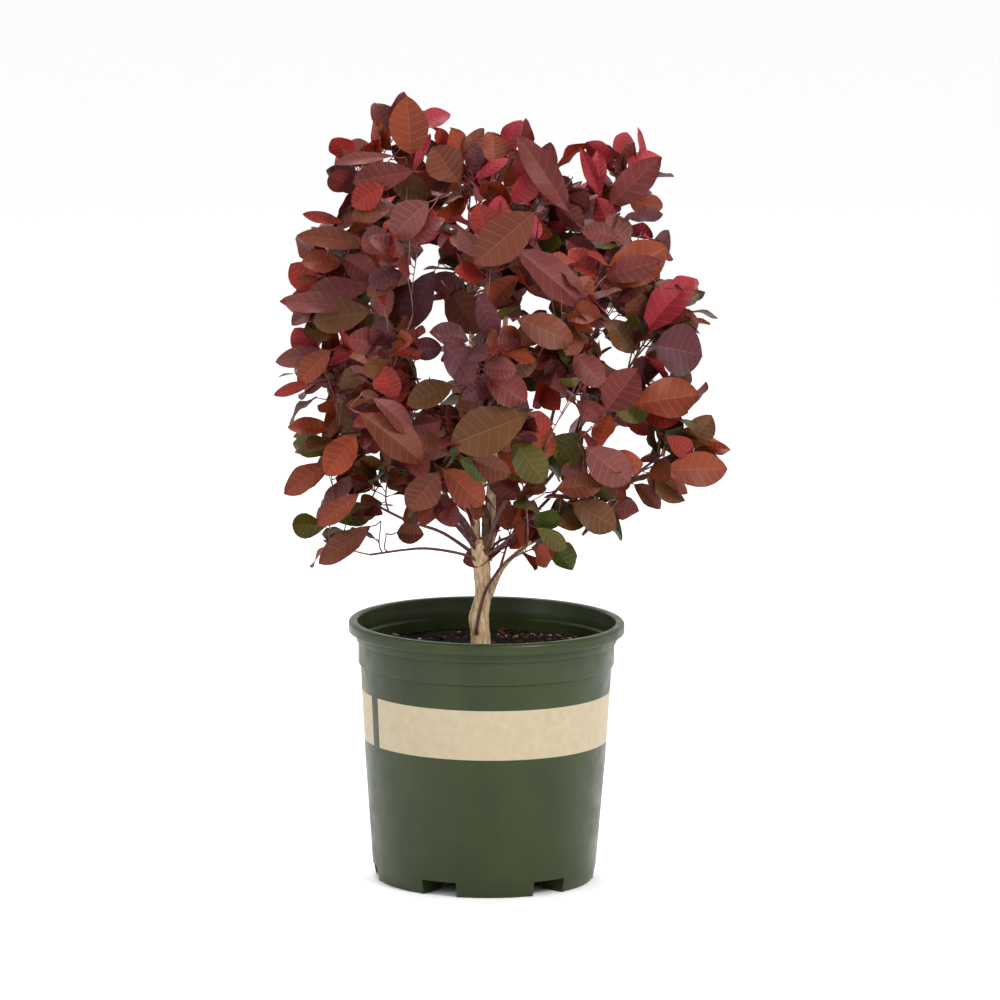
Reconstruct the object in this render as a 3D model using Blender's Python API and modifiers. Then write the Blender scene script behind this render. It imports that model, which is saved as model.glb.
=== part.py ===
"""A smoke bush in its nursery pot, at real size: metres, +Z up, the viewer at -Y.

The pot is a turned shell on six foot pads. The plant grows beside the pot's axis: a short trunk, a fork of
two leaders, the boughs, and the masses of foliage that the boughs end in. Every solid is its own object.
Masses are lobed ellipsoids that stop at a plane between them and each neighbour, and they keep clear of the
see-through gaps of the crown. A limb starts where it leaves the solids made before it and ends where it
enters a mass.
"""

import math

import bmesh
import bpy
from mathutils import Matrix, Vector, noise
from mathutils.bvhtree import BVHTree

MM = 0.001
GAP = 0.3 * MM
OBJECT_NAME = "potted_smoke_bush"

# Pot
TURN_STEPS = 32
WALL = 2.0 * MM
POT_HEIGHT = 265 * MM
RIM_RADIUS = 140 * MM
RIM_INNER_RADIUS = 131 * MM
LIP_BOTTOM = 253.5 * MM
COLLAR_RADIUS = 132.5 * MM
COLLAR_BOTTOM = 244 * MM
STACKING_RADIUS = 130 * MM
STACKING_BOTTOM = 220 * MM
STACKING_STEP = 2.5 * MM
COLLAR_STEP = 2 * MM
LIP_ROUNDING = 2.5 * MM
SHOULDER_RADIUS = 127.6 * MM
BELLY_HEIGHT = 123 * MM
BELLY_RADIUS = 122 * MM
SKIRT_HEIGHT = 28 * MM
SKIRT_RADIUS = 114.6 * MM
SKIRT_FOOT_RADIUS = 113.6 * MM
HEEL_HEIGHT = 2.5 * MM
HEEL_RADIUS = 110.5 * MM
FOOT_OUTER_RADIUS = 108 * MM
FOOT_INNER_RADIUS = 82 * MM
CHANNEL_HEIGHT = 15.5 * MM
CHANNEL_HALF_ANGLE = math.radians(9.5)
CHANNEL_COUNT = 6
FIRST_CHANNEL = math.radians(36)
CUT_MARGIN = 3 * MM
FACE_OFFSET = 0.05 * MM
DRAIN_INSET = 7 * MM

# Soil
SOIL_LEVEL = 232.5 * MM
SOIL_UNEVEN = 5 * MM
SOIL_LUMPS_PER_M = 28
SOIL_RINGS = (90 * MM, 55 * MM)
TRUNK_SEAT_RADIUS = 20 * MM
CHANNEL_ROOM = 1.1

# Limbs
TRUNK_SAMPLES_PER_SPAN = 2
LIMB_SAMPLES_PER_SPAN = 120
LIMB_RING_POINTS = 8
LIMB_BEVEL_RESOLUTION = 1
LIMB_CLEARANCE = 0.4 * MM
TEST_RAY = Vector((0.31, 0.17, 0.93)).normalized()

# Masses
TIPPED_MASS_GRID = (11, 8)
PLAIN_MASS_GRID = (10, 7)
LOBE_DEPTH = 0.22
LOBE_FREQUENCY = 1.9
TIP_WIDTH = math.radians(20)
VIEW_ELEVATION = math.radians(8.6)
LEAST_SHARE = 0.3
MASS_TWIST = 0.7

LEAF_WINE = (0.20, 0.045, 0.05)
LEAF_BRONZE = (0.17, 0.06, 0.035)
LEAF_ROSE = (0.32, 0.05, 0.07)
BARK_PALE = (0.44, 0.33, 0.22)
BARK_BROWN = (0.16, 0.07, 0.045)
BARK_DARK = (0.05, 0.03, 0.022)
POT_GREEN = (0.075, 0.105, 0.035)
SOIL_BROWN = (0.022, 0.014, 0.010)

# Limbs from foot to tip, in millimetres on the pot's axis: (x, y, z, radius) at each bend.
TRUNK = (
    (-6, 0, 232.8, 13),
    (-6, 0, 238, 11),
    (-6, 0, 248, 9.7),
    (-8, 0, 266, 10.3),
    (-6, 0, 278, 9.2),
    (-3.5, 0, 294, 8.3),
    (-5, 0, 314, 8.6),
    (-6, 0, 332, 9.4),
    (-6, 0, 344, 10.4),
)

LIMBS = {
    "leader_left": (BARK_PALE, (
        (-10, 1, 338, 5.4), (-12, 1, 362, 4.7), (-12, 2, 385, 4.1), (-2, 2, 430, 3.6), (-14, 0, 500, 3.2),
        (-20, 0, 600, 2.6),
    )),
    "leader_right": (BARK_PALE, (
        (3, 8, 338, 4.6), (4, 6, 360, 4.2), (4, 4, 405, 4.2), (6, 8, 440, 3.6), (14, 10, 500, 3.2),
        (18, 10, 600, 2.6),
    )),
    "pruned_stub": (BARK_DARK, (
        (-1, -4, 340, 5.0), (-1, -4, 362, 4.6), (-3, -5, 380, 3.2),
    )),
    "bough_front_left": (BARK_BROWN, (
        (-10, -3, 336, 2.6), (-31, -24, 366, 2.1), (-52, -44, 390, 1.9), (-82, -80, 440, 1.6),
    )),
    "bough_low_middle": (BARK_BROWN, (
        (-12, 0, 352, 2.2), (-22, -14, 368, 1.9), (-36, -32, 388, 1.7), (-44, -60, 410, 1.5),
    )),
    "bough_left": (BARK_BROWN, (
        (-8, 2, 326, 2.2), (-29, 0, 344, 1.8), (-50, -4, 357, 1.6), (-84, -8, 369, 1.4),
        (-128, -12, 392, 1.2),
    )),
    "bough_left_low": (BARK_BROWN, (
        (-8, -4, 326, 1.9), (-29, -9, 335, 1.5), (-59, -18, 341, 1.4), (-83, -26, 341, 1.2),
        (-130, -34, 336, 1.1),
    )),
    "bough_front_right": (BARK_BROWN, (
        (0, -6, 340, 2.8), (12, -14, 378, 2.4), (42, -24, 432, 2.0), (58, -30, 456, 1.8),
        (72, -60, 520, 1.6),
    )),
    "bough_right": (BARK_BROWN, (
        (-2, -4, 334, 2.2), (18, -12, 347, 1.9), (46, -14, 376, 1.7), (78, -14, 412, 1.6),
        (112, -16, 462, 1.5), (140, -14, 525, 1.3),
    )),
    "bough_right_low": (BARK_PALE, (
        (2, -2, 290, 3.6), (12, -14, 315, 2.9), (24, -24, 333, 2.3), (44, -36, 352, 1.8),
    )),
    "shoot_on_trunk": (BARK_BROWN, (
        (-10, -12.6, 258, 1.6), (-6, -12.6, 280, 1.6), (-1, -13, 298, 1.6), (8, -22, 315, 1.4),
        (18, -33, 330, 1.3), (40, -44, 350, 1.2),
    )),
    "bough_back_left": (BARK_BROWN, (
        (-10, 8, 338, 3.0), (-34, 34, 372, 2.4), (-62, 62, 420, 2.0), (-86, 86, 480, 1.8),
    )),
    "bough_back_middle": (BARK_BROWN, (
        (-4, 8, 338, 3.0), (0, 40, 380, 2.4), (4, 80, 430, 2.0),
    )),
    "bough_back_right": (BARK_BROWN, (
        (-1, 7, 338, 3.0), (18, 34, 368, 2.4), (60, 50, 400, 2.0), (94, 74, 450, 1.8),
    )),
    "bough_inner": (BARK_BROWN, (
        (-2, 3, 330, 1.8), (8, 6, 342, 1.5), (24, 10, 350, 1.3),
    )),
    "bough_far_right": (BARK_BROWN, (
        (112, -18, 372, 1.5), (132, -18, 394, 1.4), (146, -18, 416, 1.3), (176, -20, 440, 1.2),
    )),
}

# Masses in millimetres on the pot's axis: name, leaf colour, centre, half sizes, and the tips that they reach.
MASSES = (
    ("top_left", LEAF_WINE, (-84, -10, 744), (26, 34, 38),
     ((-88, -12, 796), (-60, -10, 712), (-108, -20, 728))),
    ("top_left_wing", LEAF_WINE, (-116, -30, 706), (34, 42, 30),
     ((-157, -40, 746), (-130, -40, 752), (-138, -40, 688))),
    ("top_middle", LEAF_ROSE, (-30, -25, 726), (34, 42, 34),
     ((-50, -25, 768), (-9, -30, 769), (-2, -40, 690))),
    ("top_back", LEAF_WINE, (14, 48, 704), (50, 48, 40), ((24, 34, 742), (-22, 60, 735), (20, 20, 670))),
    ("top_right", LEAF_ROSE, (68, -15, 700), (38, 44, 36),
     ((34, -20, 759), (90, -10, 746), (62, -20, 738))),
    ("top_right_wing", LEAF_WINE, (122, 5, 706), (30, 46, 26),
     ((168, 0, 742), (108, 0, 746), (142, 0, 745))),
    ("shoulder_left", LEAF_WINE, (-142, -15, 648), (40, 54, 28),
     ((-195, -30, 664), (-190, -20, 682), (-160, -20, 682))),
    ("front_upper_left", LEAF_WINE, (-68, -108, 652), (50, 46, 48), ()),
    ("front_upper_right", LEAF_WINE, (12, -122, 650), (52, 46, 48), ()),
    ("shoulder_right", LEAF_WINE, (134, -45, 642), (46, 58, 40),
     ((178, -50, 656), (172, -45, 682), (146, -45, 690))),
    ("back_upper_left", LEAF_WINE, (-82, 92, 655), (60, 60, 54), ()),
    ("back_upper_right", LEAF_BRONZE, (84, 98, 650), (62, 60, 54), ()),
    ("middle_left", LEAF_WINE, (-150, -8, 588), (48, 58, 30),
     ((-211, -25, 590), (-190, -20, 613), (-165, -20, 620))),
    ("front_left", LEAF_WINE, (-86, -128, 578), (50, 48, 44), ()),
    ("front_middle", LEAF_WINE, (-4, -154, 562), (50, 46, 52), ()),
    ("front_right", LEAF_WINE, (76, -132, 592), (54, 50, 50), ()),
    ("middle_right", LEAF_ROSE, (160, 5, 572), (40, 60, 40),
     ((199, -5, 614), (221, 0, 546), (204, 0, 516))),
    ("back_left", LEAF_BRONZE, (-124, 108, 572), (64, 64, 54), ()),
    ("back_middle", LEAF_WINE, (0, 158, 590), (68, 54, 60), ()),
    ("back_right", LEAF_WINE, (128, 112, 570), (60, 62, 52), ()),
    ("core", LEAF_BRONZE, (0, 0, 612), (80, 72, 60), ()),
    ("low_left", LEAF_WINE, (-146, -5, 514), (48, 60, 36),
     ((-217, -20, 536), (-219, -15, 500), (-200, -15, 482))),
    ("front_low_left", LEAF_BRONZE, (-80, -120, 488), (52, 50, 46), ()),
    ("front_low_middle", LEAF_BRONZE, (-2, -145, 474), (58, 46, 46), ()),
    ("front_low_right", LEAF_WINE, (82, -88, 520), (48, 54, 38), ()),
    ("low_right", LEAF_WINE, (160, -20, 496), (42, 58, 32), ((212, -35, 508), (208, -30, 474))),
    ("back_low_left", LEAF_BRONZE, (-104, 104, 484), (62, 62, 50), ()),
    ("back_low_middle", LEAF_WINE, (5, 146, 490), (62, 60, 52), ()),
    ("back_low_right", LEAF_BRONZE, (110, 102, 482), (60, 62, 50), ()),
    ("skirt_left", LEAF_BRONZE, (-142, -12, 434), (34, 50, 34), ((-206, -20, 464), (-209, -25, 394))),
    ("skirt_middle", LEAF_BRONZE, (-42, -80, 412), (46, 44, 34), ()),
    ("skirt_front_right", LEAF_BRONZE, (48, -80, 432), (36, 42, 42), ()),
    ("skirt_far_right", LEAF_BRONZE, (106, -48, 428), (40, 44, 30), ()),
    ("skirt_right", LEAF_WINE, (180, -15, 434), (46, 48, 26),
     ((247, -20, 422), (219, -10, 456), (192, -12, 464))),
    ("skirt_back", LEAF_WINE, (0, 96, 428), (72, 54, 38), ()),
    ("foot_left", LEAF_BRONZE, (-140, -15, 378), (26, 34, 28), ((-174, -20, 356), (-160, -18, 404))),
    ("foot_left_inner", LEAF_BRONZE, (-100, -30, 402), (24, 34, 28), ()),
    ("foot_left_tip", LEAF_BRONZE, (-144, -32, 342), (20, 18, 9), ((-173, -32, 323), (-118, -32, 360))),
    ("foot_right", LEAF_BRONZE, (102, -20, 384), (30, 36, 18), ((133, -25, 363), (84, -20, 396))),
    ("foot_middle", LEAF_BRONZE, (56, -38, 358), (22, 24, 13), ((83, -38, 334), (38, -38, 368))),
    ("foot_inner", LEAF_BRONZE, (26, 16, 342), (14, 15, 25), ()),
)

# Pairs of masses that reach out to each other, so that no mass hangs free of the rest.
TOUCHING = (
    ("top_middle", "top_back"),
    ("top_back", "core"),
    ("top_left_wing", "shoulder_left"),
    ("top_right_wing", "shoulder_right"),
    ("shoulder_left", "middle_left"),
    ("middle_left", "low_left"),
    ("low_left", "skirt_left"),
    ("shoulder_right", "middle_right"),
    ("middle_right", "low_right"),
    ("middle_right", "back_right"),
    ("low_right", "skirt_right"),
    ("back_right", "back_low_right"),
    ("back_low_left", "back_low_middle"),
    ("front_low_middle", "skirt_front_right"),
    ("front_low_left", "skirt_middle"),
)

# Where the crown shows sky, seen from the front: x and z of the middle, and radius, in millimetres.
SKY_GAPS = (
    (-61, 641, 7),
    (-76, 624, 5),
    (-41, 612, 4),
    (-53, 572, 5),
    (-57, 524, 7),
    (41, 587, 5),
    (124, 580, 5),
    (130, 536, 9),
    (76, 473, 11),
    (126, 449, 8),
    (155, 449, 5),
    (-87, 384, 6),
)


def clear_scene():
    for obj in list(bpy.data.objects):
        bpy.data.objects.remove(obj, do_unlink=True)


def collection_named(name):
    made = bpy.data.collections.new(name)
    bpy.context.scene.collection.children.link(made)
    return made


def coloured(obj, colour, roughness):
    material = bpy.data.materials.new(obj.name)
    material.use_nodes = True
    shader = material.node_tree.nodes["Principled BSDF"]
    shader.inputs["Base Color"].default_value = (*colour, 1)
    shader.inputs["Roughness"].default_value = roughness
    obj.data.materials.append(material)
    material.diffuse_color = (*colour, 1)


def placed(name, data, collection):
    obj = bpy.data.objects.new(name, data)
    collection.objects.link(obj)
    return obj


def mesh_from(name, build):
    """A mesh from a function that fills a bmesh, with its faces turned outwards."""
    body = bmesh.new()
    build(body)
    bmesh.ops.recalc_face_normals(body, faces=body.faces)
    mesh = bpy.data.meshes.new(name)
    body.to_mesh(mesh)
    body.free()
    return mesh


def turned(name, profile, collection):
    """A profile of (radius, height) points, turned about Z by a Screw modifier and made a plain mesh."""

    def outline(body):
        points = [body.verts.new((radius, 0, height)) for radius, height in profile]
        for first, second in zip(points, points[1:]):
            body.edges.new((first, second))

    guide = placed(name + "_profile", mesh_from(name + "_profile", outline), collection)
    screw = guide.modifiers.new("Screw", "SCREW")
    screw.steps = TURN_STEPS
    screw.render_steps = TURN_STEPS
    screw.use_merge_vertices = True
    screw.merge_threshold = 0.0001
    graph = bpy.context.evaluated_depsgraph_get()
    mesh = bpy.data.meshes.new_from_object(guide.evaluated_get(graph))
    bpy.data.objects.remove(guide, do_unlink=True)
    body = bmesh.new()
    body.from_mesh(mesh)
    bmesh.ops.remove_doubles(body, verts=body.verts, dist=0.00001)
    bmesh.ops.recalc_face_normals(body, faces=body.faces)
    body.to_mesh(mesh)
    body.free()
    return placed(name, mesh, collection)


def pot_profile():
    outside = [
        (FOOT_INNER_RADIUS, 0),
        (FOOT_OUTER_RADIUS, 0),
        (HEEL_RADIUS, HEEL_HEIGHT),
        (SKIRT_FOOT_RADIUS, CHANNEL_HEIGHT),
        (SKIRT_RADIUS, SKIRT_HEIGHT),
        (BELLY_RADIUS, BELLY_HEIGHT),
        (SHOULDER_RADIUS, STACKING_BOTTOM),
        (STACKING_RADIUS, STACKING_BOTTOM + STACKING_STEP),
        (STACKING_RADIUS, COLLAR_BOTTOM),
        (COLLAR_RADIUS, COLLAR_BOTTOM + COLLAR_STEP),
        (COLLAR_RADIUS, LIP_BOTTOM),
        (RIM_RADIUS - LIP_ROUNDING / 2, LIP_BOTTOM),
        (RIM_RADIUS, LIP_BOTTOM + LIP_ROUNDING / 2),
        (RIM_RADIUS, POT_HEIGHT - LIP_ROUNDING),
        (RIM_RADIUS - LIP_ROUNDING, POT_HEIGHT),
        (RIM_INNER_RADIUS + LIP_ROUNDING / 2, POT_HEIGHT),
        (RIM_INNER_RADIUS, POT_HEIGHT - LIP_ROUNDING / 2),
    ]
    inside = [
        (STACKING_RADIUS - WALL, COLLAR_BOTTOM),
        (STACKING_RADIUS - WALL, STACKING_BOTTOM + STACKING_STEP),
        (SHOULDER_RADIUS - WALL, STACKING_BOTTOM),
        (BELLY_RADIUS - WALL, BELLY_HEIGHT),
        (SKIRT_RADIUS - WALL, SKIRT_HEIGHT),
        (FOOT_OUTER_RADIUS, WALL),
        (FOOT_INNER_RADIUS + WALL, WALL),
        (FOOT_INNER_RADIUS + WALL, CHANNEL_HEIGHT + WALL),
        (0, CHANNEL_HEIGHT + WALL),
    ]
    underside = [(0, CHANNEL_HEIGHT), (FOOT_INNER_RADIUS, CHANNEL_HEIGHT), (FOOT_INNER_RADIUS, 0)]
    return outside + inside + underside


def wedge(name, half_angle, inner, outer, bottom, top, middle, collection):
    """A block between two radii and two heights, as wide as the angle says, standing at the middle angle."""

    def build(body):
        corners = []
        for height in (bottom, top):
            for radius, side in ((inner, -1), (outer, -1), (outer, 1), (inner, 1)):
                x = radius * math.sin(side * half_angle)
                y = -radius * math.cos(half_angle)
                corners.append(body.verts.new((x, y, height)))
        for face in ((0, 1, 2, 3), (4, 5, 6, 7), (0, 1, 5, 4), (1, 2, 6, 5), (2, 3, 7, 6), (3, 0, 4, 7)):
            body.faces.new([corners[corner] for corner in face])

    obj = placed(name, mesh_from(name, build), collection)
    obj.rotation_euler.z = middle
    return obj


def channel_angles():
    return [FIRST_CHANNEL + 2 * math.pi * number / CHANNEL_COUNT for number in range(CHANNEL_COUNT)]


def combine(obj, tool, operation):
    modifier = obj.modifiers.new(tool.name, "BOOLEAN")
    modifier.object = tool
    modifier.operation = operation
    tool.hide_render = True
    tool.display_type = "WIRE"


def make_pot(parts, tools):
    """A shell whose foot ring is crossed by six drain channels, each roofed at the floor's height."""
    pot = turned("pot", pot_profile(), parts)
    side = math.atan2(WALL, FOOT_INNER_RADIUS)
    for number, angle in enumerate(channel_angles()):
        roof = wedge(
            f"channel_roof_{number}",
            CHANNEL_HALF_ANGLE + side,
            FOOT_INNER_RADIUS + WALL / 4,
            FOOT_OUTER_RADIUS + CUT_MARGIN,
            WALL / 4,
            CHANNEL_HEIGHT + WALL - FACE_OFFSET,
            angle,
            tools,
        )
        combine(pot, roof, "UNION")
    for number, angle in enumerate(channel_angles()):
        passage = wedge(
            f"channel_{number}",
            CHANNEL_HALF_ANGLE,
            FOOT_INNER_RADIUS - CUT_MARGIN,
            RIM_RADIUS,
            -CUT_MARGIN,
            CHANNEL_HEIGHT - FACE_OFFSET,
            angle,
            tools,
        )
        combine(pot, passage, "DIFFERENCE")
        drain = wedge(
            f"drain_{number}",
            CHANNEL_HALF_ANGLE / 2,
            FOOT_INNER_RADIUS + DRAIN_INSET,
            FOOT_OUTER_RADIUS - DRAIN_INSET,
            CHANNEL_HEIGHT - CUT_MARGIN,
            CHANNEL_HEIGHT + CUT_MARGIN,
            angle,
            tools,
        )
        combine(pot, drain, "DIFFERENCE")
    coloured(pot, POT_GREEN, 0.45)
    return pot


def soil_profile():
    clear = WALL + GAP
    side = clear + GAP
    top_rings = [(radius, SOIL_LEVEL) for radius in SOIL_RINGS]
    return [
        (0, CHANNEL_HEIGHT + clear),
        (FOOT_INNER_RADIUS + clear, CHANNEL_HEIGHT + clear),
        (FOOT_INNER_RADIUS + clear, clear),
        (FOOT_OUTER_RADIUS - 2 * GAP, clear),
        (SKIRT_RADIUS - side, SKIRT_HEIGHT),
        (BELLY_RADIUS - side, BELLY_HEIGHT),
        (SHOULDER_RADIUS - side, STACKING_BOTTOM),
        (STACKING_RADIUS - side, SOIL_LEVEL),
        *top_rings,
        (TRUNK_SEAT_RADIUS, SOIL_LEVEL),
        (0, SOIL_LEVEL),
    ]


def make_soil(parts, tools):
    """Potting mix that fills the shell round the channel roofs, uneven on top but flat under the trunk."""
    soil = turned("soil", soil_profile(), parts)
    for vertex in soil.data.vertices:
        radius = math.hypot(vertex.co.x, vertex.co.y)
        if vertex.co.z > SOIL_LEVEL - MM and radius > TRUNK_SEAT_RADIUS + MM:
            vertex.co.z += SOIL_UNEVEN * noise.noise(vertex.co * SOIL_LUMPS_PER_M)
    side = math.atan2(WALL + GAP, FOOT_INNER_RADIUS)
    for number, angle in enumerate(channel_angles()):
        hollow = wedge(
            f"soil_channel_{number}",
            CHANNEL_HALF_ANGLE + side * CHANNEL_ROOM,
            FOOT_INNER_RADIUS - CUT_MARGIN,
            RIM_RADIUS,
            -CUT_MARGIN,
            CHANNEL_HEIGHT + WALL + GAP - FACE_OFFSET / 2,
            angle,
            tools,
        )
        combine(soil, hollow, "DIFFERENCE")
    coloured(soil, SOIL_BROWN, 0.95)
    return soil


def smooth_stations(bends, samples):
    """(place, radius) along a Catmull-Rom curve through the bends, in metres."""
    points = [Vector(bend[:3]) * MM for bend in bends]
    radii = [bend[3] * MM for bend in bends]
    before = [2 * points[0] - points[1]] + points
    after = points + [2 * points[-1] - points[-2]]
    stations = []
    for span in range(len(points) - 1):
        a, b, c, d = before[span], points[span], points[span + 1], after[span + 2]
        for step in range(samples):
            t = step / samples
            place = 0.5 * (
                2 * b + (c - a) * t + (2 * a - 5 * b + 4 * c - d) * t**2 + (3 * b - a - 3 * c + d) * t**3
            )
            stations.append((place, radii[span] + t * (radii[span + 1] - radii[span])))
    stations.append((points[-1], radii[-1]))
    return stations


def limb_object(name, stations, colour, collection):
    curve = bpy.data.curves.new(name, "CURVE")
    curve.dimensions = "3D"
    curve.bevel_depth = 1
    curve.bevel_resolution = LIMB_BEVEL_RESOLUTION
    curve.use_fill_caps = True
    spline = curve.splines.new("POLY")
    spline.points.add(len(stations) - 1)
    for point, (place, radius) in zip(spline.points, stations):
        point.co = (*place, 1)
        point.radius = radius
    obj = placed(name, curve, collection)
    coloured(obj, colour, 0.8)
    return obj


def surface_of(obj):
    """A search tree of the object's evaluated faces, in world space."""
    graph = bpy.context.evaluated_depsgraph_get()
    mesh = bpy.data.meshes.new_from_object(obj.evaluated_get(graph))
    mesh.transform(obj.matrix_world)
    body = bmesh.new()
    body.from_mesh(mesh)
    bmesh.ops.remove_doubles(body, verts=body.verts, dist=0.00001)
    bmesh.ops.recalc_face_normals(body, faces=body.faces)
    tree = BVHTree.FromBMesh(body)
    body.free()
    bpy.data.meshes.remove(mesh)
    return tree


def is_blocked(stations, number, surfaces):
    """Whether the limb's section at a station touches a solid."""
    place, radius = stations[number]
    ahead = stations[min(number + 1, len(stations) - 1)][0]
    behind = stations[max(number - 1, 0)][0]
    along = (ahead - behind).normalized()
    across = along.orthogonal().normalized()
    turn = Matrix.Rotation(2 * math.pi / LIMB_RING_POINTS, 3, along)
    ring = [place]
    for _ in range(LIMB_RING_POINTS):
        ring.append(place + across * radius)
        across = turn @ across
    for tree in surfaces:
        if tree.find_nearest(place, radius + 2 * LIMB_CLEARANCE)[0] is None and not is_inside(place, tree):
            continue
        for point in ring:
            if is_inside(point, tree) or tree.find_nearest(point, LIMB_CLEARANCE)[0] is not None:
                return True
    return False


def is_inside(point, tree):
    """Whether a slanting ray from the point crosses the surface an odd number of times."""
    crossings = 0
    hit = tree.ray_cast(point, TEST_RAY)[0]
    while hit is not None:
        crossings += 1
        hit = tree.ray_cast(hit + TEST_RAY * 0.001 * MM, TEST_RAY)[0]
    return crossings % 2 == 1


def trimmed(stations, surfaces):
    """The longest run of stations that is clear of every solid."""
    best_length, best_first, first = 0, 0, 0
    for number in range(len(stations) + 1):
        if number < len(stations) and not is_blocked(stations, number, surfaces):
            continue
        if number - first > best_length:
            best_length, best_first = number - first, first
        first = number + 1
    return stations[best_first : best_first + best_length]


def thinned(stations, count):
    """Stations picked at even steps, the first and last among them."""
    last = len(stations) - 1
    return [stations[round(last * step / (count - 1))] for step in range(count)]


def make_trunk(parts):
    return limb_object("trunk", smooth_stations(TRUNK, TRUNK_SAMPLES_PER_SPAN), BARK_PALE, parts)


def make_limbs(parts, solids):
    """Each limb's run between the solids made before it, in the order of the table."""
    surfaces = [surface_of(obj) for obj in solids]
    for name, (colour, bends) in LIMBS.items():
        stations = trimmed(smooth_stations(bends, LIMB_SAMPLES_PER_SPAN), surfaces)
        limb = limb_object(name, thinned(stations, len(bends) + 2), colour, parts)
        surfaces.append(surface_of(limb))


def mass_reach(half, direction, seed):
    """Distance from a mass's centre to its lobed surface, before its neighbours and the gaps cut it back."""
    scaled = Vector((direction.x / half.x, direction.y / half.y, direction.z / half.z))
    lobes = noise.noise(direction * LOBE_FREQUENCY + Vector((seed * 7.3, seed * 3.1, 0)))
    return (1 + LOBE_DEPTH * 2 * lobes) / scaled.length


def neighbour_planes(number, centres, halves):
    """The plane that parts a mass from each other one: name to (normal, distance), seen from its centre."""
    planes = {}
    for other, centre in enumerate(centres):
        if other == number:
            continue
        offset = centre - centres[number]
        normal = offset.normalized()
        own = mass_reach(halves[number], normal, 0)
        theirs = mass_reach(halves[other], -normal, 0)
        share = min(max(own / (own + theirs), LEAST_SHARE), 1 - LEAST_SHARE)
        planes[MASSES[other][0]] = (normal, offset.length * share - GAP / 2)
    return planes


def sky_limit(centre, direction):
    """How far a ray from a mass's centre runs before it enters a see-through gap."""
    sight = Vector((0, math.cos(VIEW_ELEVATION), -math.sin(VIEW_ELEVATION)))
    limit = math.inf
    flat_direction = direction - sight * direction.dot(sight)
    for gap_x, gap_z, gap_radius in SKY_GAPS:
        offset = Vector((gap_x, 0, gap_z)) * MM - centre
        offset -= sight * offset.dot(sight)
        a = flat_direction.length_squared
        b = flat_direction.dot(offset)
        c = offset.length_squared - (gap_radius * MM) ** 2
        under_root = b * b - a * c
        if a > 0 and b > 0 and under_root > 0:
            limit = min(limit, max(b - math.sqrt(under_root), 0) / a)
    return limit


def make_mass(number, collection, centres, halves):
    name, colour, _, _, tips = MASSES[number]
    centre, half = centres[number], halves[number]
    planes = neighbour_planes(number, centres, halves)
    tip_offsets = [Vector(tip) * MM - centre for tip in tips]
    for pair in TOUCHING:
        if name in pair:
            normal, distance = planes[pair[1 - pair.index(name)]]
            tip_offsets.append(normal * distance)

    def build(body):
        segments, rings = TIPPED_MASS_GRID if tips else PLAIN_MASS_GRID
        bmesh.ops.create_uvsphere(body, u_segments=segments, v_segments=rings, radius=1)
        bmesh.ops.rotate(body, verts=body.verts, matrix=Matrix.Rotation(number * MASS_TWIST, 3, "Z"))
        nearest = {}
        for tip in tip_offsets:
            vertex = max(body.verts, key=lambda v: v.co.normalized().dot(tip.normalized()))
            nearest[vertex] = tip
        for vertex in body.verts:
            direction = vertex.co.normalized()
            reach = mass_reach(half, direction, number + 1)
            for tip in tip_offsets:
                angle = direction.angle(tip)
                reach += max(tip.length - reach, 0) * math.exp(-((angle / TIP_WIDTH) ** 2))
            if vertex in nearest:
                direction = nearest[vertex].normalized()
                reach = nearest[vertex].length
            for normal, distance in planes.values():
                facing = direction.dot(normal)
                if facing > 0:
                    reach = min(reach, distance / facing)
            reach = min(reach, sky_limit(centre, direction))
            vertex.co = centre + direction * reach

    obj = placed("mass_" + name, mesh_from(name, build), collection)
    coloured(obj, colour, 0.6)
    return obj


def make_masses(parts):
    centres = [Vector(centre) * MM for _, _, centre, _, _ in MASSES]
    halves = [Vector(half) * MM for _, _, _, half, _ in MASSES]
    return [make_mass(number, parts, centres, halves) for number in range(len(MASSES))]


def stand_on_origin(parts):
    """Moves the whole plant so that the middle of its box's underside is the origin."""
    bpy.context.view_layer.update()
    graph = bpy.context.evaluated_depsgraph_get()
    corners = []
    for obj in parts.objects:
        evaluated = obj.evaluated_get(graph)
        corners += [evaluated.matrix_world @ Vector(corner) for corner in evaluated.bound_box]
    low = Vector([min(corner[axis] for corner in corners) for axis in range(3)])
    high = Vector([max(corner[axis] for corner in corners) for axis in range(3)])
    root = bpy.data.objects.new(OBJECT_NAME, None)
    parts.objects.link(root)
    root.location = (-(low.x + high.x) / 2, -(low.y + high.y) / 2, -low.z)
    return root


def main():
    clear_scene()
    parts = collection_named(OBJECT_NAME)
    tools = collection_named("cutters")
    pot = make_pot(parts, tools)
    soil = make_soil(parts, tools)
    trunk = make_trunk(parts)
    masses = make_masses(parts)
    bpy.context.view_layer.update()
    make_limbs(parts, [trunk, soil, pot, *masses])
    solids = list(parts.objects)
    root = stand_on_origin(parts)
    for obj in solids + list(tools.objects):
        obj.parent = root


main()
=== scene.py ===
"""Looks of the potted smoke bush: pot, potting mix, bark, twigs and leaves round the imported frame."""

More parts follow.
